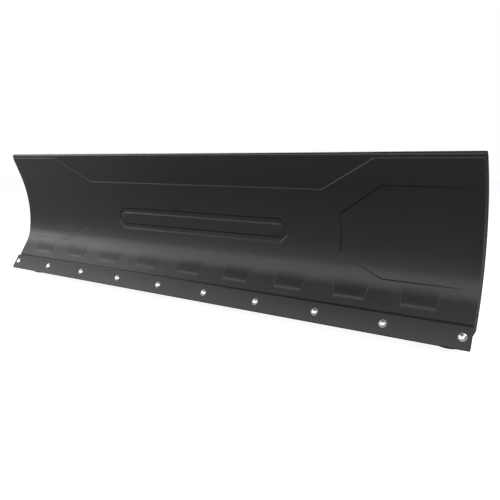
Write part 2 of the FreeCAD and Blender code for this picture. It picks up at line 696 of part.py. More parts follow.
# ---------------------------------------------------------------- all nodes
def build():
    skin = moldboard()
    channel = lower_channel()
    nest = tube_nest()
    nodes = {
        "moldboard": skin,
        "wear_bar": wear_bar(),
        "wear_bar_bolts": Part.makeCompound([carriage_bolt(x) for x in BOLT_X]),
        "wear_bar_nuts": Part.makeCompound([flange_nut(x) for x in BOLT_X]),
        "lower_channel": channel,
        "upper_tube": upper_tube(),
    }
    ear_half = LUG_GAP / 2 + EAR_T / 2
    for name, side in (("left", -1), ("right", 1)):
        nodes["end_rib_" + name] = end_rib(side, skin, channel)
        nodes["rib_inner_" + name] = inner_rib(side * RIB_X[0], skin, channel, nest)
        nodes["rib_outer_" + name] = inner_rib(side * RIB_X[1], skin, channel, nest)
        nodes["mount_ear_inner_" + name] = mount_ear(side * (EAR_X - ear_half), skin, channel, nest)
        nodes["mount_ear_outer_" + name] = mount_ear(side * (EAR_X + ear_half), skin, channel, nest)
        out = ear_half + EAR_T / 2 + DOUBLER_T / 2
        nodes["pivot_doublers_" + name] = Part.makeCompound([doubler(side * (EAR_X - out)),
                                                             doubler(side * (EAR_X + out))])
        nodes["spring_tab_" + name] = spring_tab(side * EAR_X)
        x = side * SHOE_X
        nodes["shoe_socket_" + name] = shoe_socket(x)
        nodes["socket_gussets_" + name] = socket_gussets(x, channel)
        nodes["skid_shoe_" + name] = shoe_dish(x)
        nodes["shoe_post_" + name] = shoe_post(x)
        nodes["lower_spacers_" + name] = spacers(x, LOW_SPACERS, HUB_TOP + FACE_GAP)
        nodes["upper_spacers_" + name] = spacers(x, TOP_SPACERS, SOCKET_TOP)
        nodes["hairpin_" + name] = hairpin(x) if side > 0 else mirrored(hairpin(-x))
    return nodes


def main():
    os.makedirs("parts", exist_ok=True)
    for name, shape in build().items():
        if not shape.isValid() or not shape.Solids:
            raise ValueError(name + " isn't a valid solid")
        shape.exportStep("parts/" + name + ".step")
        b = shape.BoundBox
        print("%-24s solids %2d  volume %10.0f  x %.1f..%.1f  y %.1f..%.1f  z %.1f..%.1f" % (
            name, len(shape.Solids), shape.Volume, b.XMin, b.XMax, b.YMin, b.YMax, b.ZMin, b.ZMax))


main()
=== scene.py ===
"""Looks of a snow plow blade: a pressed, powder-coated moldboard, its bolted wear bar and the welded frame behind it.

Metres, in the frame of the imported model: +X along the blade, -Y the ploughing face, +Z up.
"""

import math

import bmesh
import bpy
import numpy as np
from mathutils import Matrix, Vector


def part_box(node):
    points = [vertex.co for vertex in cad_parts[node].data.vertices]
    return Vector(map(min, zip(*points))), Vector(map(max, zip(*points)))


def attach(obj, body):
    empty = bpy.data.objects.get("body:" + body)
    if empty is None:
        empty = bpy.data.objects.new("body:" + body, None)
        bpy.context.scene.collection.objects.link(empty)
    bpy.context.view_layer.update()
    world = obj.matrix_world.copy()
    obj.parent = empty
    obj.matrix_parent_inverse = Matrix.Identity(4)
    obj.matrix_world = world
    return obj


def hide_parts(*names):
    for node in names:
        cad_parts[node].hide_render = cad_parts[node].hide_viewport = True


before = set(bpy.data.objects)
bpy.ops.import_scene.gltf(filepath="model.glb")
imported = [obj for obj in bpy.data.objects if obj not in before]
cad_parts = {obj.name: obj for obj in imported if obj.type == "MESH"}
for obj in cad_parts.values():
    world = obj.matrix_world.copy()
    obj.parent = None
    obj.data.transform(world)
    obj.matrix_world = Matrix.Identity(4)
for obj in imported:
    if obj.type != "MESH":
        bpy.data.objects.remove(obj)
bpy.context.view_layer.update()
MM = 0.001

# ---------------------------------------------------------------- the blade's section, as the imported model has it
BAR_LEAN = math.radians(33.5)       # leans back with height
BAR_H = 50 * MM
BAR_T = 6 * MM
BOLT_UP = 25.5 * MM                 # bolt line above the bar's lower edge
SKIN_T = 3 * MM
SKIN_FOOT = 20 * MM                 # skin below the bolt line
SKIN_STRAIGHT = 73.5 * MM           # flat skin above the bolt line
LOWER_R, MID_LEAN = 128 * MM, math.radians(8.3)
UPPER_R, TOP_LEAN = 360 * MM, math.radians(-22.3)
BEND_R = 6 * MM                     # outside radius of the top fold
TOP_FLANGE = 24 * MM
CHANNEL_T = 4 * MM

bar_low, bar_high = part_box("wear_bar")
HALF = bar_high[0]
UP = np.array((0.0, math.sin(BAR_LEAN), math.cos(BAR_LEAN)))
BACK = np.array((0.0, math.cos(BAR_LEAN), -math.sin(BAR_LEAN)))
BAR_FOOT = np.array((0.0, bar_low[1], bar_high[2] - BAR_H * UP[2]))
BOLT_LINE = BAR_FOOT + BOLT_UP * UP
TOP_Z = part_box("moldboard")[1][2]
STACK = BAR_T + SKIN_T + CHANNEL_T   # what the bolts clamp

# ---------------------------------------------------------------- pressed pattern
PRESS = 2.0 * MM                    # depth of the panels
RAMP = 2.0 * MM                     # half the width of a pressed edge
PANEL_RAMP = 1.5 * MM               # of the top panel's edge
STEEP_RAMP = 1.1 * MM               # and of the side panels' sharper ones
NEAR = 3.0 * MM                     # the grid is finer this near to a pressed edge
CROWDING = 1.4                      # and its lines crowd towards the edge by this power
ROW_STEP, COLUMN_STEP = 5.5 * MM, 13 * MM        # of the grid away from the edges
ROW_GAP = 0.2 * MM                  # rows nearer than this to the one below are dropped
BAND_DROP = 13.2 * MM               # pressed line below the top edge
TRAP_DROP = 87.5 * MM               # lower edge of the top panel's middle, below the top edge
TRAP_TOP_X, TRAP_LOW_X = HALF - 222 * MM, HALF - 359 * MM        # ends of the slope between the two
# The six-sided panel at each end: where it has faded out, its outer corners and its inner side; then its heights,
# from the top edge downwards and from the bolt line upwards.
HEX_FADE_X, HEX_CORNER_X, HEX_INNER_X = HALF - 24 * MM, HALF - 210 * MM, HALF - 316 * MM
HEX_TOP_DROP, HEX_UPPER_H = 73.7 * MM, 70.4 * MM
HEX_BOTTOM, HEX_LOWER_H = 85.3 * MM, 48 * MM
POCKET_COUNT = 9
POCKET_INSET = 118 * MM             # from the sheet's end to the middle of the last pocket
POCKET_PITCH = (2 * HALF - 2 * POCKET_INSET) / (POCKET_COUNT - 1)
POCKET_END = HALF - 60 * MM         # no pocket beyond this x
POCKET_PRESS = 1.6 * MM             # pressed forwards at the lower edge, level with the sheet at the top
POCKET_FOOT_RAMP, POCKET_SIDE_RAMP = 3.2 * MM, 1.1 * MM
POCKET_LOW, POCKET_H = 40 * MM, 38 * MM          # above the bolt line, and the pocket's own height
POCKET_W_LOW, POCKET_W_TOP = 75 * MM, 90 * MM
BADGE_HALF, BADGE_H, BADGE_MID, BADGE_CUT = 300 * MM, 62 * MM, 176 * MM, 20 * MM
BADGE_RIM = 14 * MM                 # width of the groove round the raised middle of the long bar
BADGE_CUT_SHRINK = 0.6              # a cut corner's loss per unit of inset: near 2 - sqrt(2), so the rim stays even
GROOVE_W, GROOVE_DEPTH = 5.5 * MM, 2.4 * MM      # shadow gap along the wear bar's top edge
GROOVE_RAMP = 0.5 * MM


def knots():
    """Developed lengths along the front face from the bolt line, and the lean at each."""
    rest = TOP_Z - BOLT_LINE[2] - BEND_R * (1 - math.sin(TOP_LEAN))
    rest += BAR_T * math.sin(BAR_LEAN)
    rest -= SKIN_STRAIGHT * math.cos(BAR_LEAN)
    rest -= LOWER_R * (math.sin(BAR_LEAN) - math.sin(MID_LEAN))
    rest -= UPPER_R * (math.sin(MID_LEAN) - math.sin(TOP_LEAN))
    lengths = [SKIN_FOOT + SKIN_STRAIGHT, LOWER_R * (BAR_LEAN - MID_LEAN), UPPER_R * (MID_LEAN - TOP_LEAN),
               rest / math.cos(TOP_LEAN), BEND_R * (math.pi / 2 - TOP_LEAN), TOP_FLANGE]
    leans = [BAR_LEAN, BAR_LEAN, MID_LEAN, TOP_LEAN, TOP_LEAN, math.pi / 2, math.pi / 2]
    return np.concatenate(([0.0], np.cumsum(lengths))) - SKIN_FOOT, np.array(leans)


KNOT_S, KNOT_LEAN = knots()
FOOT_S, FOLD_S, FLANGE_S, END_S = KNOT_S[[0, 4, 5, 6]]      # lower edge, start and end of the fold, flange's edge


def chord(start_lean, end_lean, length):
    """Step (y, z) along an arc of even bend: its chord is the length times sin(h)/h, h being half the turn."""
    half_turn = (end_lean - start_lean) / 2
    middle = (end_lean + start_lean) / 2
    step = length * np.sinc(half_turn / math.pi)
    return np.stack((step * np.sin(middle), step * np.cos(middle)), axis=-1)


KNOT_YZ = np.vstack(((0.0, 0.0), np.cumsum(chord(KNOT_LEAN[:-1], KNOT_LEAN[1:], np.diff(KNOT_S)), axis=0)))
KNOT_YZ = KNOT_YZ + (BOLT_LINE - SKIN_FOOT * UP + BAR_T * BACK)[1:]


def front_face(s):
    """Plain front face at developed height s: (y, z) and the lean there."""
    s = np.asarray(s, dtype=float)
    i = np.clip(np.searchsorted(KNOT_S, s, side="right") - 1, 0, len(KNOT_S) - 2)
    lean = np.interp(s, KNOT_S, KNOT_LEAN)
    return KNOT_YZ[i] + chord(KNOT_LEAN[i], lean, s - KNOT_S[i]), lean


def height_to_s(height):
    """Developed height of the front face at a height above the bolt line, found on a fine table of the section."""
    table = np.linspace(FOOT_S, FOLD_S, 4000)
    return float(np.interp(height + BOLT_LINE[2], front_face(table)[0][:, 1], table))


TOP_H = TOP_Z - BOLT_LINE[2]
BAND_S = height_to_s(TOP_H - BAND_DROP)
TRAP_S = height_to_s(TOP_H - TRAP_DROP)
HEX_TOP_S = height_to_s(TOP_H - HEX_TOP_DROP)
HEX_UP_S = height_to_s(TOP_H - HEX_TOP_DROP - HEX_UPPER_H)
HEX_LOW_S = height_to_s(HEX_BOTTOM + HEX_LOWER_H)
HEX_FOOT_S = height_to_s(HEX_BOTTOM)
POCKET_S, POCKET_TOP_S = height_to_s(POCKET_LOW), height_to_s(POCKET_LOW + POCKET_H)
BADGE_S = height_to_s(BADGE_MID)
BADGE_LOW_S, BADGE_TOP_S = BADGE_S - BADGE_H / 2, BADGE_S + BADGE_H / 2
BAR_TOP_S = BAR_H - BOLT_UP


def beyond(x, s, a, b):
    """Signed distance of (x, s) from the line through a and b, positive on its left."""
    dx, ds = b[0] - a[0], b[1] - a[1]
    return (dx * (s - a[1]) - ds * (x - a[0])) / math.hypot(dx, ds)


def ramp(distance, half_width=RAMP):
    """Smooth step from 0 to 1 across a pressed edge."""
    t = np.clip(distance / (2 * half_width) + 0.5, 0.0, 1.0)
    return t * t * (3 - 2 * t)


def inside(x, s, corners):
    """Signed distance from the edges of a convex outline whose corners run anticlockwise in x and s."""
    pairs = zip(corners, corners[1:] + corners[:1])
    return np.minimum.reduce([beyond(x, s, a, b) for a, b in pairs])


def cut_corner_bar(x, s, inset):
    """Signed distance inside the middle's long bar, shrunk by inset."""
    w, h, c = BADGE_HALF - inset, BADGE_H / 2 - inset, BADGE_CUT - inset * BADGE_CUT_SHRINK
    upright = np.minimum(w - x, h - np.abs(s - BADGE_S))
    cut = (w + h - c - x - np.abs(s - BADGE_S)) / math.sqrt(2)
    return np.minimum(upright, cut)


def pressed_depth(x, s):
    """How far the sheet is pressed back at (x, s): smooth steps across the edges of the top panel, the six-sided ones
    and the long bar's groove, less the pockets, which press forwards."""
    x = np.abs(x)
    slope = beyond(x, s, (TRAP_LOW_X, TRAP_S), (TRAP_TOP_X, BAND_S))
    top = np.minimum(s - TRAP_S, np.maximum(slope, s - BAND_S))
    depth = PRESS * ramp(top, PANEL_RAMP)

    far = HALF + 1
    hexagon = inside(x, s, [(HEX_CORNER_X, HEX_FOOT_S), (far, HEX_FOOT_S), (far, HEX_TOP_S),
                            (HEX_CORNER_X, HEX_TOP_S), (HEX_INNER_X, HEX_UP_S), (HEX_INNER_X, HEX_LOW_S)])
    fade = np.clip((HEX_FADE_X - x) / (HEX_FADE_X - HEX_INNER_X), 0.0, 1.0)
    depth = depth + PRESS * ramp(hexagon, STEEP_RAMP) * np.sqrt(fade)

    share = np.clip((s - POCKET_S) / (POCKET_TOP_S - POCKET_S), 0.0, 1.0)
    nearest = np.abs((x + POCKET_PITCH / 2) % POCKET_PITCH - POCKET_PITCH / 2)
    nearest = np.where(x > POCKET_END, POCKET_PITCH, nearest)
    half_width = (POCKET_W_LOW + (POCKET_W_TOP - POCKET_W_LOW) * share) / 2
    pocket = ramp(half_width - nearest, POCKET_SIDE_RAMP) * ramp(s - POCKET_S, POCKET_FOOT_RAMP)
    depth = depth - POCKET_PRESS * pocket * (1 - share)

    groove = ramp(cut_corner_bar(x, s, 0.0)) - ramp(cut_corner_bar(x, s, BADGE_RIM))
    return depth + PRESS * groove


def front_groove(s):
    """Shadow gap along the bar's top edge, on the front face only: a flat-bottomed channel with steep sides."""
    return GROOVE_DEPTH * ramp(GROOVE_W / 2 - np.abs(s - BAR_TOP_S - GROOVE_W / 2), GROOVE_RAMP)


# ---------------------------------------------------------------- mesh helpers
def grid_faces(rows, columns, wrap_rows=False, wrap_columns=False):
    """Quads of a grid whose points are numbered row by row."""
    i = np.arange(rows if wrap_rows else rows - 1)[:, None]
    j = np.arange(columns if wrap_columns else columns - 1)[None, :]
    i2, j2 = (i + 1) % rows, (j + 1) % columns
    return np.stack([i * columns + j, i * columns + j2, i2 * columns + j2, i2 * columns + j], axis=-1).reshape(-1, 4)


def make_piece(name, points, faces, sharp=38):
    """A mesh object from points and faces: doubles merged, faces turned outwards, smooth but for edges sharper than
    the given angle in degrees."""
    mesh = bpy.data.meshes.new(name)
    mesh.from_pydata(points.reshape(-1, 3).tolist(), [], [tuple(face) for face in faces])
    made = bmesh.new()
    made.from_mesh(mesh)
    bmesh.ops.remove_doubles(made, verts=made.verts, dist=1e-6)
    bmesh.ops.dissolve_degenerate(made, edges=made.edges, dist=1e-7)
    bmesh.ops.recalc_face_normals(made, faces=made.faces)
    made.to_mesh(mesh)
    made.free()
    return shaded(name, mesh, sharp)


def shaded(name, mesh, sharp):
    """Links a mesh as an object, smooth but for its sharp edges."""
    mesh.shade_smooth()
    mesh.set_sharp_from_angle(angle=math.radians(sharp))
    piece = bpy.data.objects.new(name, mesh)
    bpy.context.scene.collection.objects.link(piece)
    return piece


def joined(name, grids, wrap_rows=False, sharp=38):
    """Grids of one size, each closed round its columns, made one piece.  Each open end is capped by one face."""
    rows, columns = grids[0].shape[:2]
    quads = grid_faces(rows, columns, wrap_rows=wrap_rows, wrap_columns=True)
    faces = []
    for k in range(len(grids)):
        faces += (quads + k * rows * columns).tolist()
        if not wrap_rows:
            start = k * rows * columns
            faces.append(list(range(start, start + columns)))
            faces.append(list(range(start + (rows - 1) * columns, start + rows * columns)))
    return make_piece(name, np.concatenate([grid.reshape(-1, 3) for grid in grids]), faces, sharp)


def soften(piece, width, segments=2, limit=42):
    """Rounds the piece's hard edges."""
    bevel = piece.modifiers.new("edges", "BEVEL")
    bevel.width = width
    bevel.segments = segments
    bevel.limit_method = "ANGLE"
    bevel.angle_limit = math.radians(limit)
    bevel.harden_normals = True
    return piece


def finish_piece(piece, material, body, slot, *nodes):
    """Gives a piece its material and body, and hides the nodes it stands for. The slot is not used."""
    piece.data.materials.clear()
    piece.data.materials.append(material)
    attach(piece, body)
    if nodes:
        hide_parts(*nodes)
    return piece


def softened_node(node, width):
    """A copy of a flat-cut CAD plate with its loose triangles merged and its edges slightly rounded."""
    made = bmesh.new()
    made.from_mesh(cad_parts[node].data)
    bmesh.ops.remove_doubles(made, verts=made.verts, dist=5e-6)
    bmesh.ops.dissolve_limit(made, angle_limit=math.radians(0.3), verts=made.verts, edges=made.edges)
    mesh = bpy.data.meshes.new(node + "_plate")
    made.to_mesh(mesh)
    made.free()
    if "custom_normal" in mesh.attributes:
        mesh.attributes.remove(mesh.attributes["custom_normal"])
    return soften(shaded(node + "_plate", mesh, 30), width, limit=30)


# ---------------------------------------------------------------- materials
def new_group(name, inputs, outputs):
    """An empty shader group with named sockets.  inputs are (name, default), outputs are (name, type)."""
    group = bpy.data.node_groups.new(name, "ShaderNodeTree")
    for label, default in inputs:
        socket = group.interface.new_socket(label, in_out="INPUT", socket_type="NodeSocketFloat")
        socket.default_value = default
    for label, kind in outputs:
        group.interface.new_socket(label, in_out="OUTPUT", socket_type=kind)
    return group, group.nodes.new("NodeGroupInput"), group.nodes.new("NodeGroupOutput")


def noise(tree, vector, detail=3.0, roughness=0.5):
    """A noise texture read at a vector; its scale is left to the caller."""
    node = tree.nodes.new("ShaderNodeTexNoise")
    node.inputs["Detail"].default_value = detail
    node.inputs["Roughness"].default_value = roughness
    tree.links.new(vector, node.inputs["Vector"])
    return node


def math_node(tree, operation, a, b=None, clamp=False):
    """The result of an arithmetic operation on one or two values, each a number or a socket."""
    node = tree.nodes.new("ShaderNodeMath")
    node.operation = operation
    node.use_clamp = clamp
    for socket, value in zip(node.inputs, (a, b)):
        if value is None:
            continue
        if isinstance(value, (int, float)):
            socket.default_value = value
        else:
            tree.links.new(value, socket)
    return node.outputs[0]


def remap(tree, value, low, high, to_low, to_high):
    """A socket's value carried from one range to another and held inside it."""
    node = tree.nodes.new("ShaderNodeMapRange")
    for socket, number in zip(("From Min", "From Max", "To Min", "To Max"), (low, high, to_low, to_high)):
        node.inputs[socket].default_value = number
    tree.links.new(value, node.inputs["Value"])
    return node.outputs["Result"]


def coat_group():
    """Powder coat: a fine orange-peel height, a slow cloudiness for gloss, and a speck mask."""
    group, given, out = new_group(
        "powder_coat", [("Peel Scale", 420.0), ("Cloud Scale", 6.0)],
        [("Height", "NodeSocketFloat"), ("Cloud", "NodeSocketFloat"), ("Specks", "NodeSocketFloat")])
    where = group.nodes.new("ShaderNodeTexCoord").outputs["Object"]
    peel = noise(group, where, 2.0)
    group.links.new(given.outputs["Peel Scale"], peel.inputs["Scale"])
    cloud = noise(group, where, 4.0, 0.55)
    group.links.new(given.outputs["Cloud Scale"], cloud.inputs["Scale"])
    specks = noise(group, where, 1.0)
    specks.inputs["Scale"].default_value = 1500.0
    group.links.new(peel.outputs["Fac"], out.inputs["Height"])
    group.links.new(cloud.outputs["Fac"], out.inputs["Cloud"])
    group.links.new(remap(group, specks.outputs["Fac"], 0.72, 0.78, 0.0, 1.0), out.inputs["Specks"])
    return group


def edge_group():
    """Rubbed edges: where a rounded normal leaves the true one, broken up by noise."""
    group, given, out = new_group("rubbed_edges", [("Width", 0.0012), ("Amount", 1.0)], [("Mask", "NodeSocketFloat")])
    bevel = group.nodes.new("ShaderNodeBevel")
    bevel.samples = 4
    group.links.new(given.outputs["Width"], bevel.inputs["Radius"])
    true_normal = group.nodes.new("ShaderNodeNewGeometry").outputs["Normal"]
    dot = group.nodes.new("ShaderNodeVectorMath")
    dot.operation = "DOT_PRODUCT"
    group.links.new(bevel.outputs["Normal"], dot.inputs[0])
    group.links.new(true_normal, dot.inputs[1])
    away = math_node(group, "SUBTRACT", 1.0, dot.outputs["Value"])
    edge = remap(group, away, 0.015, 0.16, 0.0, 1.0)
    where = group.nodes.new("ShaderNodeTexCoord").outputs["Object"]
    broken = noise(group, where, 6.0, 0.65)
    broken.inputs["Scale"].default_value = 90.0
    kept = remap(group, broken.outputs["Fac"], 0.42, 0.62, 0.0, 1.0)
    worn = math_node(group, "MULTIPLY", edge, kept)
    group.links.new(math_node(group, "MULTIPLY", worn, given.outputs["Amount"], clamp=True), out.inputs["Mask"])
    return group


def place_group(tree, group, **values):
    """A group in a tree, with its inputs set by name; an underscore stands for a space."""
    node = tree.nodes.new("ShaderNodeGroup")
    node.node_tree = group
    for name, value in values.items():
        node.inputs[name.replace("_", " ")].default_value = value
    return node


def blank_material(name):
    """A new material, its node tree and its shader."""
    material = bpy.data.materials.new(name)
    material.use_nodes = True
    tree = material.node_tree
    return material, tree, tree.nodes["Principled BSDF"]


def mix_colour(tree, factor, a, b):
    """Colour a turned into b by the factor; each may be a socket, and a colour may be three numbers."""
    node = tree.nodes.new("ShaderNodeMix")
    node.data_type = "RGBA"
    for socket, value in ((node.inputs[0], factor), (node.inputs[6], a), (node.inputs[7], b)):
        if isinstance(value, bpy.types.NodeSocket):
            tree.links.new(value, socket)
        elif isinstance(value, tuple):
            socket.default_value = (*value, 1.0)
        else:
            socket.default_value = value
    return node.outputs[2]


def coated_steel(name, colour, cloudy, gloss, peel, wear, specular):
    """Powder-coated steel: dark coat with cloudy gloss, fine peel, and a hint of steel at rubbed edges."""
    material, tree, shader = blank_material(name)
    coat = place_group(tree, COAT, Peel_Scale=420.0, Cloud_Scale=5.0)
    edges = place_group(tree, EDGES, Width=0.0012, Amount=wear)
    toned = mix_colour(tree, coat.outputs["Cloud"], colour, cloudy)
    specked = mix_colour(tree, math_node(tree, "MULTIPLY", coat.outputs["Specks"], 0.06), toned, (0.25, 0.25, 0.25))
    tree.links.new(mix_colour(tree, edges.outputs["Mask"], specked, (0.16, 0.16, 0.165)), shader.inputs["Base Color"])
    rough = remap(tree, coat.outputs["Cloud"], 0.3, 0.7, gloss - 0.03, gloss + 0.03)
    tree.links.new(rough, shader.inputs["Roughness"])
    tree.links.new(math_node(tree, "MULTIPLY", edges.outputs["Mask"], 0.7), shader.inputs["Metallic"])
    bump = tree.nodes.new("ShaderNodeBump")
    bump.inputs["Strength"].default_value = peel
    bump.inputs["Distance"].default_value = 0.0002
    tree.links.new(coat.outputs["Height"], bump.inputs["Height"])
    tree.links.new(bump.outputs["Normal"], shader.inputs["Normal"])
    shader.inputs["Specular IOR Level"].default_value = specular
    return material


def zinc_plate(name, colour, dull, gloss):
    """Zinc plate: pale metal with slow spangles of tone and a faint bumpy grain."""
    material, tree, shader = blank_material(name)
    coat = place_group(tree, COAT, Peel_Scale=900.0, Cloud_Scale=140.0)
    tree.links.new(mix_colour(tree, coat.outputs["Cloud"], colour, dull), shader.inputs["Base Color"])
    rough = remap(tree, coat.outputs["Cloud"], 0.3, 0.7, gloss - 0.05, gloss + 0.08)
    tree.links.new(rough, shader.inputs["Roughness"])
    shader.inputs["Metallic"].default_value = 1.0
    bump = tree.nodes.new("ShaderNodeBump")
    bump.inputs["Strength"].default_value = 0.15
    bump.inputs["Distance"].default_value = 0.0001
    tree.links.new(coat.outputs["Height"], bump.inputs["Height"])
    tree.links.new(bump.outputs["Normal"], shader.inputs["Normal"])
    return material


COAT = coat_group()
EDGES = edge_group()
BLACK_COAT = coated_steel("black_coat", (0.007, 0.007, 0.0072), (0.010, 0.010, 0.0102),
                          gloss=0.34, peel=0.10, wear=0.25, specular=0.5)
BAR_COAT = coated_steel("bar_coat", (0.018, 0.018, 0.0185), (0.024, 0.024, 0.0245),
                        gloss=0.46, peel=0.16, wear=0.4, specular=0.5)
FRAME_COAT = coated_steel("frame_coat", (0.012, 0.012, 0.0125), (0.017, 0.017, 0.0175),
                          gloss=0.45, peel=0.22, wear=0.5, specular=0.4)
SHOE_COAT = coated_steel("shoe_coat", (0.03, 0.03, 0.031), (0.045, 0.044, 0.043),
                         gloss=0.55, peel=0.5, wear=0.9, specular=0.4)
BRIGHT_ZINC = zinc_plate("bright_zinc_plate", (0.90, 0.90, 0.91), (0.80, 0.81, 0.82), gloss=0.34)
DULL_ZINC = zinc_plate("dull_zinc_plate", (0.60, 0.61, 0.62), (0.46, 0.47, 0.48), gloss=0.40)


# ---------------------------------------------------------------- moldboard
def fill(stops, longest):
    """Splits each gap between neighbouring stops into even steps no longer than the longest."""
    parts = [np.linspace(a, b, max(1, int(math.ceil((b - a) / longest))), endpoint=False)
             for a, b in zip(stops, stops[1:])]
    return np.concatenate(parts + [[stops[-1]]])


def crowded(count=11):
    """Places from -1 to 1 that crowd towards 0: a power of even places, with their sign."""
    even = np.linspace(-1, 1, count)
    return np.sign(even) * np.abs(even) ** CROWDING


def row_heights():
    """Developed heights of the grid's rows: close together across each level pressed edge."""
    edges = [POCKET_S, HEX_FOOT_S, BADGE_LOW_S, BADGE_LOW_S + BADGE_RIM, BADGE_TOP_S - BADGE_RIM, BADGE_TOP_S,
             TRAP_S, HEX_TOP_S, BAND_S]
    corners = [POCKET_TOP_S, HEX_LOW_S, HEX_UP_S, BADGE_LOW_S + BADGE_CUT, BADGE_TOP_S - BADGE_CUT]
    fine = [e + NEAR * crowded() for e in edges]
    gap = BAR_TOP_S + np.concatenate([edge + np.linspace(-0.5, 0.5, 5) * MM for edge in (0.0, GROOVE_W)])
    fold = np.linspace(FOLD_S, FLANGE_S, 8)
    stops = np.unique(np.round(np.concatenate(fine + [gap, corners, fold, (FOOT_S, END_S)]), 7))
    stops = stops[np.concatenate(([True], np.diff(stops) > ROW_GAP))]
    return fill(list(stops), ROW_STEP)


def edge_paths(s):
    """Where the columns' control lines run at each height: x of every upright or sloped pressed edge, from the
    middle outwards."""
    def through(points):
        heights, xs = zip(*sorted(points))
        return np.interp(s, heights, xs)

    def pocket_side(k, side):
        low = k * POCKET_PITCH + side * POCKET_W_LOW / 2
        top = k * POCKET_PITCH + side * POCKET_W_TOP / 2
        return [(POCKET_S, low), (POCKET_TOP_S, top)]

    # One control line may follow a pocket's side low down and a panel's edge higher up.
    cut = BADGE_HALF - BADGE_CUT
    badge_end = [(BADGE_LOW_S, cut), (BADGE_LOW_S + BADGE_CUT, BADGE_HALF), (BADGE_TOP_S - BADGE_CUT, BADGE_HALF),
                 (BADGE_TOP_S, cut)]
    trap = [(TRAP_S, TRAP_LOW_X), (BAND_S, TRAP_TOP_X)]
    hexagon = [(HEX_FOOT_S, HEX_CORNER_X), (HEX_LOW_S, HEX_INNER_X), (HEX_UP_S, HEX_INNER_X),
               (HEX_TOP_S, HEX_CORNER_X)]
    lines = [pocket_side(0, 1), pocket_side(1, -1), pocket_side(1, 1), pocket_side(2, -1) + badge_end,
             pocket_side(2, 1), pocket_side(3, -1) + trap, pocket_side(3, 1) + hexagon, pocket_side(4, -1),
             pocket_side(4, 1)]
    return [through(points) for points in lines]


def column_places(s):
    """x of every grid point, a row per height: columns crowd along each pressed edge and spread evenly between."""
    controls = [np.zeros_like(s)]
    cells = []
    for path in edge_paths(s):
        slope = (np.interp(s + 2 * MM, s, path) - np.interp(s - 2 * MM, s, path)) / (4 * MM)
        reach = NEAR * np.sqrt(1 + slope ** 2)
        low, high = path - reach, path + reach
        cells += [low - controls[-1], None]
        controls += [low, high]
    cells.append(HALF - controls[-1])
    controls.append(np.full_like(s, HALF))
    columns = [controls[0]]
    for a, b, gap in zip(controls, controls[1:], cells):
        count = 0 if gap is None else max(2, int(math.ceil(np.median(gap) / COLUMN_STEP)))
        steps = (crowded()[1:] + 1) / 2 if gap is None else np.arange(1, count + 1) / count
        columns += [a + (b - a) * t for t in steps]
    right = np.stack(columns, axis=1)
    return np.concatenate((-right[:, :0:-1], right), axis=1)


def moldboard():
    """Sheet pressed back by pressed_depth from the plain section: a loop of rows up the face, over the fold and
    down the back, a wall's thickness behind along the section's own normal."""
    s = row_heights()
    x = column_places(s)
    rows = len(s)
    yz, lean = front_face(s)
    heights = s[:, None] + 0 * x
    depth = pressed_depth(x, heights)
    face = np.stack((x, yz[:, 0:1] + depth + front_groove(s)[:, None], yz[:, 1:2] + 0 * x), axis=-1)
    wall = SKIN_T * np.stack((np.cos(lean), -np.sin(lean)), axis=1)
    rear = np.stack((x, (yz + wall)[:, 0:1] + depth, (yz + wall)[:, 1:2] + 0 * x), axis=-1)
    loop = np.concatenate((face, rear[::-1]), axis=0)
    columns = x.shape[1]
    quads = grid_faces(2 * rows, columns, wrap_rows=True)
    j = np.arange(rows - 1)
    front, behind = j, 2 * rows - 1 - j
    left = np.stack((front, front + 1, behind - 1, behind), axis=1) * columns
    right = left[:, ::-1] + columns - 1
    return make_piece("moldboard_sheet", loop, np.concatenate((quads, left, right)).tolist())


# ---------------------------------------------------------------- bars, bolts and nuts
def rounded_loop(width, height, radius, steps=6):
    """Outline of a rectangle with round corners, centred, anticlockwise."""
    turn = np.linspace(0, math.pi / 2, steps)
    loop = []
    for k, (sx, sy) in enumerate(((1, 1), (-1, 1), (-1, -1), (1, -1))):
        a = turn + k * math.pi / 2
        loop.append(np.stack((sx * (width / 2 - radius) + radius * np.cos(a),
                              sy * (height / 2 - radius) + radius * np.sin(a)), axis=1))
    return np.concatenate(loop)


def bar_sweep(half_length, centre, across, along, width, height, radius):
    """Grid of a bar along X: a rounded rectangle carried from end to end, drawn in by a quarter circle at each
    end."""
    turn = np.linspace(0, math.pi / 2, 5)
    inset = radius * (1 - np.sin(turn))
    rounding = half_length - radius * (1 - np.cos(turn))
    middle = np.linspace(-1, 1, 33) * (half_length - radius - 4 * MM)
    places = np.concatenate((-rounding, middle, rounding[::-1]))
    draw = np.concatenate((inset, 0 * middle, inset[::-1]))
    loops = np.stack([rounded_loop(width - 2 * pull, height - 2 * pull, max(radius - pull, 0.05 * MM))
                      for pull in draw])
    rings = centre + loops[..., :1] * across + loops[..., 1:] * along
    rings[..., 0] += places[:, None]
    return rings


def turned(profile, steps, axis, across, centre, shape=None):
    """Grid of a turned shape: a profile of (radius, height) pairs carried round an axis.
    shape(radius, height, angle) may change the radius."""
    angle = np.arange(steps) * 2 * math.pi / steps
    profile = np.asarray(profile, dtype=float)
    height = profile[:, 1:] + 0 * angle
    radius = profile[:, :1] + 0 * angle
    if shape is not None:
        radius = shape(radius, height, angle[None])
    spoke = np.cos(angle)[:, None] * across + np.sin(angle)[:, None] * np.cross(axis, across)
    return centre + radius[..., None] * spoke[None] + height[..., None] * np.asarray(axis)


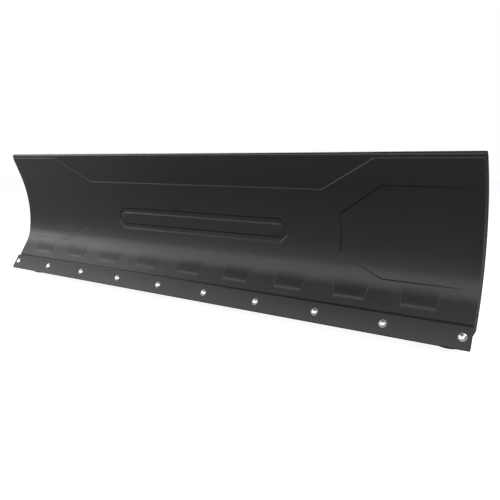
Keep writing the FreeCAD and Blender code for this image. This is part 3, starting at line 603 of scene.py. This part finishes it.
def rounded_profile(corners, steps=4):
    """Profile through corners (radius, height, rounding): each corner is cut back by its rounding and bridged by a
    quadratic curve that touches both sides."""
    corners = np.asarray(corners, dtype=float)
    made = [corners[0, :2]]
    t = np.linspace(0, 1, steps + 1)[:, None]
    for before, here, after in zip(corners, corners[1:], corners[2:]):
        point, cut = here[:2], here[2]
        if cut == 0:
            made.append(point)
            continue
        a = point + (before[:2] - point) * cut / np.hypot(*(before[:2] - point))
        c = point + (after[:2] - point) * cut / np.hypot(*(after[:2] - point))
        made.extend((1 - t) ** 2 * a + 2 * t * (1 - t) * point + t ** 2 * c)
    made.append(corners[-1, :2])
    return np.array(made)


# ---------------------------------------------------------------- fasteners
HEAD_R, HEAD_H, SHANK_R = 9.0 * MM, 4.3 * MM, 3.95 * MM
NUT_AF, NUT_H, NUT_FLANGE_R = 12.7 * MM, 6.4 * MM, 8.6 * MM
THREAD_OUT, THREAD_PITCH, THREAD_DEPTH = 3.0 * MM, 1.41 * MM, 0.75 * MM
THREAD_FROM, THREAD_TO = STACK + 0.3 * NUT_H, STACK + NUT_H + THREAD_OUT      # along the bolt, from under its head
THREAD_ROW = 0.16 * MM
BOLT_TIP = 1 * MM                   # chamfer of the bolt's end
BOLT_COUNT = 10
BOLT_END = 17.25 * MM               # from the bar's end to the last bolt
BOLT_X = np.linspace(-HALF + BOLT_END, HALF - BOLT_END, BOLT_COUNT)
RIGHT = np.array((1.0, 0.0, 0.0))
SKY = np.array((0.0, 0.0, 1.0))


def thread(radius, height, angle):
    """Thread from inside the nut to the tip: its depth follows a triangle wave of height and turn together, cut off
    flat at crest and root."""
    phase = (height / THREAD_PITCH - angle / (2 * math.pi)) % 1.0
    groove = THREAD_DEPTH * np.clip(1.35 - 1.5 * np.abs(phase - 0.5) * 2, 0.0, 1.0)
    in_thread = (height > THREAD_FROM) & (height < THREAD_TO + BOLT_TIP)
    return np.where(in_thread, radius - groove * (radius > 0.8 * SHANK_R), radius)


def carriage_bolt(x):
    """Domed head, plain shank and threaded end, turned about the bolt's own axis."""
    dome_r = (HEAD_R ** 2 + HEAD_H ** 2) / (2 * HEAD_H)
    reach = math.asin((HEAD_R - 0.3 * MM) / dome_r)
    swing = np.linspace(0.02, reach, 14)
    dome = np.stack((dome_r * np.sin(swing), dome_r - HEAD_H - dome_r * np.cos(swing)), axis=1)
    rim = [(HEAD_R - 0.1 * MM, -0.55 * MM), (HEAD_R, -0.35 * MM), (HEAD_R, 0.0), (SHANK_R, 0.0)]
    rows = np.arange(THREAD_FROM, THREAD_TO, THREAD_ROW)
    tip = [(SHANK_R, THREAD_TO), (SHANK_R - BOLT_TIP, THREAD_TO + BOLT_TIP), (0.3 * MM, THREAD_TO + BOLT_TIP)]
    profile = np.concatenate((dome, rim, np.stack((0 * rows + SHANK_R, rows), axis=1), tip))
    return turned(profile, 36, BACK, RIGHT, BOLT_LINE + (x, 0, 0), thread)


def wrench_flats(radius, height, angle):
    """Nut's outside: the smaller of the profile's radius and a hexagon whose corners are slightly rounded."""
    from_flat = (angle + math.pi / 6) % (math.pi / 3) - math.pi / 6
    flats = NUT_AF / 2 / np.cos(from_flat)
    rounded = np.minimum(flats, NUT_AF / math.sqrt(3) - 0.15 * MM)
    is_wrench = (height > 1.75 * MM) & (radius > 0.7 * NUT_AF / 2)
    return np.where(is_wrench, np.minimum(radius, rounded), radius)


def flange_nut(x, turn):
    """Flange nut: a ring-shaped profile carried round the bolt's axis, hexagonal above its flange."""
    corner = NUT_AF / math.sqrt(3)
    bore = SHANK_R - 0.1 * MM
    profile = [(bore, 0.4 * MM), (bore + 0.5 * MM, 0.0), (NUT_FLANGE_R - 0.2 * MM, 0.0), (NUT_FLANGE_R, 0.25 * MM),
               (NUT_FLANGE_R, 0.9 * MM), (NUT_FLANGE_R - 0.3 * MM, 1.2 * MM), (corner + 0.2 * MM, 1.72 * MM),
               (corner, 1.8 * MM), (corner, 2.2 * MM), (corner, 4.8 * MM), (corner, NUT_H - 1.0 * MM),
               (corner - 0.35 * MM, NUT_H - 0.65 * MM), (corner - 0.7 * MM, NUT_H - 0.3 * MM),
               (corner - 1.0 * MM, NUT_H), (bore + 0.6 * MM, NUT_H), (bore, NUT_H - 0.6 * MM), (bore, 3.0 * MM)]
    across = math.cos(turn) * RIGHT + math.sin(turn) * np.cross(BACK, RIGHT)
    return turned(profile, 72, BACK, across, BOLT_LINE + STACK * BACK + (x, 0, 0), wrench_flats)


# ---------------------------------------------------------------- skid shoes
SOLE_T, DISH_H = 5 * MM, 13 * MM    # sole's thickness, height of the dish's rim
HUB_LOW_R, HUB_TOP_R = 17 * MM, 15 * MM
HUB_RECESS_R, HUB_RECESS = 12.3 * MM, 3 * MM     # radius and depth of the hub's recess, hidden inside the post
WASHER_W = 6.2 * MM                 # from a washer's hole to its rim


def ring_profile(outer, inner, low, high, edge):
    """Washer's section as a closed loop of (radius, height) with its edges rounded."""
    middle = (low + high) / 2
    return rounded_profile([(inner, middle, 0), (inner, low, edge), (outer, low, edge), (outer, high, edge),
                            (inner, high, edge), (inner, middle + 0.2 * MM, 0)], 3)


def washers(node, name, count, edge):
    """A stack of loose washers standing where the node's box says."""
    low, high = (np.array(corner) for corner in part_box(node))
    centre = ((low + high) / 2) * (1, 1, 0)
    outer = (high[0] - low[0]) / 2
    inner = outer - WASHER_W
    each = (high[2] - low[2]) / count
    grids = [turned(ring_profile(outer, inner, low[2] + k * each, low[2] + (k + 1) * each, edge), 64, SKY, RIGHT,
                    centre) for k in range(count)]
    return joined(name, grids, wrap_rows=True)


def skid_shoe(side):
    """Pressed round sole: flat foot, coned rim with a rolled lip, and a hub round the post."""
    low, high = (np.array(corner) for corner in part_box("skid_shoe_" + side))
    centre = (low + high) / 2 * (1, 1, 0)
    rim = (high[0] - low[0]) / 2
    hub_top = high[2]
    profile = rounded_profile([
        (0.4 * MM, 0, 0), (rim - 10 * MM, 0, 3.0 * MM), (rim, DISH_H, 1.2 * MM), (rim - 5 * MM, DISH_H, 1.2 * MM),
        (rim - 12.75 * MM, SOLE_T, 2.5 * MM), (HUB_LOW_R, SOLE_T, 2.0 * MM), (HUB_TOP_R, hub_top, 0.8 * MM),
        (HUB_RECESS_R, hub_top, 0.3 * MM), (HUB_RECESS_R, hub_top - HUB_RECESS, 0),
        (0.4 * MM, hub_top - HUB_RECESS, 0)], 5)
    return joined("skid_shoe_%s_dish" % side, [turned(profile, 96, SKY, RIGHT, centre)])


# ---------------------------------------------------------------- assembly
SHEET_EDGE, PLATE_EDGE, WASHER_EDGE, BAR_EDGE = 0.45 * MM, 0.5 * MM, 0.4 * MM, 1.2 * MM      # rounding of edges

finish_piece(soften(moldboard(), SHEET_EDGE, limit=62), BLACK_COAT, "blade", "black_powder_coat", "moldboard")

bar_centre = BAR_FOOT + (BAR_H / 2) * UP + (BAR_T / 2) * BACK
bar = joined("wear_bar_strip", [bar_sweep(HALF, bar_centre, BACK, UP, BAR_T, BAR_H, BAR_EDGE)])
finish_piece(bar, BAR_COAT, "blade", "wear_bar_coat", "wear_bar")

bolts = joined("wear_bar_bolts_turned", [carriage_bolt(x) for x in BOLT_X])
finish_piece(bolts, BRIGHT_ZINC, "blade", "bright_zinc", "wear_bar_bolts")
NUT_TURNS = (0.3, 0.9, 0.1, 0.55, 0.75, 0.2, 1.0, 0.45, 0.65, 0.0)      # radians: no two nuts stand alike
nuts = joined("wear_bar_nuts_turned", [flange_nut(x, turn) for x, turn in zip(BOLT_X, NUT_TURNS)], wrap_rows=True,
              sharp=25)
finish_piece(nuts, DULL_ZINC, "blade", "zinc", "wear_bar_nuts")

finish_piece(softened_node("lower_channel", PLATE_EDGE), FRAME_COAT, "blade", "black_powder_coat", "lower_channel")
PLATES = ("end_rib", "rib_inner", "rib_outer", "mount_ear_inner", "mount_ear_outer", "pivot_doublers", "spring_tab",
          "shoe_socket", "socket_gussets")
for side in ("left", "right"):
    for plate in PLATES:
        node = "%s_%s" % (plate, side)
        finish_piece(softened_node(node, PLATE_EDGE), FRAME_COAT, "blade", "black_powder_coat", node)
    shoe = "shoe_" + side
    finish_piece(skid_shoe(side), SHOE_COAT, shoe, "shoe_iron", "skid_shoe_" + side)
    for level, count, body in (("lower", 3, shoe), ("upper", 2, "blade")):
        node = "%s_spacers_%s" % (level, side)
        finish_piece(washers(node, node + "_turned", count, WASHER_EDGE), DULL_ZINC, body, "zinc", node)

# CAD solids that stay as they are, and their materials
KEPT = {"upper_tube": FRAME_COAT, "shoe_post_left": DULL_ZINC, "shoe_post_right": DULL_ZINC,
        "hairpin_left": BRIGHT_ZINC, "hairpin_right": BRIGHT_ZINC}
for node, material in KEPT.items():
    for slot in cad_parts[node].material_slots:
        slot.material = material

# ---------------------------------------------------------------- floor, light and camera
FILL = 0.12                 # all-round light; the backdrop itself is white
FLOOR_LIFT = 0.92           # keeps the floor as pale as the backdrop
FLOOR_TONE = 0.36
FLOOR_HALF, FLOOR_LINES = 9.0, 19

floor_mesh = bpy.data.meshes.new("floor")
lines = np.linspace(-FLOOR_HALF, FLOOR_HALF, FLOOR_LINES)
floor_points = np.stack(np.meshgrid(lines, lines), axis=-1)
floor_points = np.concatenate((floor_points, 0 * floor_points[..., :1]), axis=-1)
floor_faces = grid_faces(FLOOR_LINES, FLOOR_LINES)[:, ::-1]
floor_mesh.from_pydata(floor_points.reshape(-1, 3).tolist(), [], floor_faces.tolist())
floor = bpy.data.objects.new("floor", floor_mesh)
bpy.context.scene.collection.objects.link(floor)
floor_material, floor_tree, floor_shader = blank_material("pale_floor")
floor_shader.inputs["Base Color"].default_value = (FLOOR_TONE, FLOOR_TONE, FLOOR_TONE, 1.0)
floor_shader.inputs["Roughness"].default_value = 0.95
floor_shader.inputs["Specular IOR Level"].default_value = 0.1
floor_shader.inputs["Emission Color"].default_value = (1.0, 1.0, 1.0, 1.0)
seen = floor_tree.nodes.new("ShaderNodeLightPath").outputs["Is Camera Ray"]
floor_tree.links.new(math_node(floor_tree, "MULTIPLY", seen, FLOOR_LIFT), floor_shader.inputs["Emission Strength"])
floor_mesh.materials.append(floor_material)

world = bpy.data.worlds.new("studio")
world.use_nodes = True
bpy.context.scene.world = world
background = world.node_tree.nodes["Background"]
background.inputs["Color"].default_value = (1.0, 1.0, 1.0, 1.0)
seen = world.node_tree.nodes.new("ShaderNodeLightPath").outputs["Is Camera Ray"]
lit = math_node(world.node_tree, "MULTIPLY", seen, 1.0 - FILL)
world.node_tree.links.new(math_node(world.node_tree, "ADD", lit, FILL), background.inputs["Strength"])


def softbox(name, place, target, size, power):
    """A rectangular soft light at a place, facing a target."""
    light = bpy.data.lights.new(name, "AREA")
    light.shape = "RECTANGLE"
    light.size, light.size_y = size
    light.energy = power
    lamp = bpy.data.objects.new(name, light)
    lamp.location = place
    lamp.rotation_euler = (Vector(target) - Vector(place)).to_track_quat("-Z", "Y").to_euler()
    bpy.context.scene.collection.objects.link(lamp)
    return lamp


WALL_Y = -2.1               # a wall of soft light in front, seen in the foot's curve
softbox("wall_right", (-0.7, WALL_Y, 1.25), (-0.7, 0.0, 1.25), (4.4, 1.8), 48)
softbox("wall_left", (-4.4, WALL_Y, 1.6), (-4.4, 0.0, 1.6), (3.0, 2.2), 85)
softbox("high_left", (-2.8, -0.1, 2.4), (-0.2, 0.0, 0.1), (1.2, 1.2), 24)
softbox("high_right", (1.6, -1.6, 2.5), (0.3, 0.0, 0.1), (0.9, 0.9), 17)
softbox("rear_left", (-1.3, 1.5, 2.2), (-0.3, 0.0, 0.2), (1.8, 1.2), 48)
softbox("rear_right", (1.7, 1.4, 2.2), (0.3, 0.0, 0.2), (1.4, 1.2), 32)

CAMERA_DIP, CAMERA_TURN = 8.66, 32.63       # degrees below the horizon, and round from straight ahead
camera_data = bpy.data.cameras.new("camera")
camera = bpy.data.objects.new("camera", camera_data)
bpy.context.scene.collection.objects.link(camera)
camera.location = (0.9268, -1.15896, 0.40396)
camera.rotation_euler = (math.radians(90 - CAMERA_DIP), 0.0, math.radians(CAMERA_TURN))
camera_data.lens = 37.397
camera_data.shift_y = -0.0237
bpy.context.scene.camera = camera
bpy.context.scene.view_settings.view_transform = "Standard"
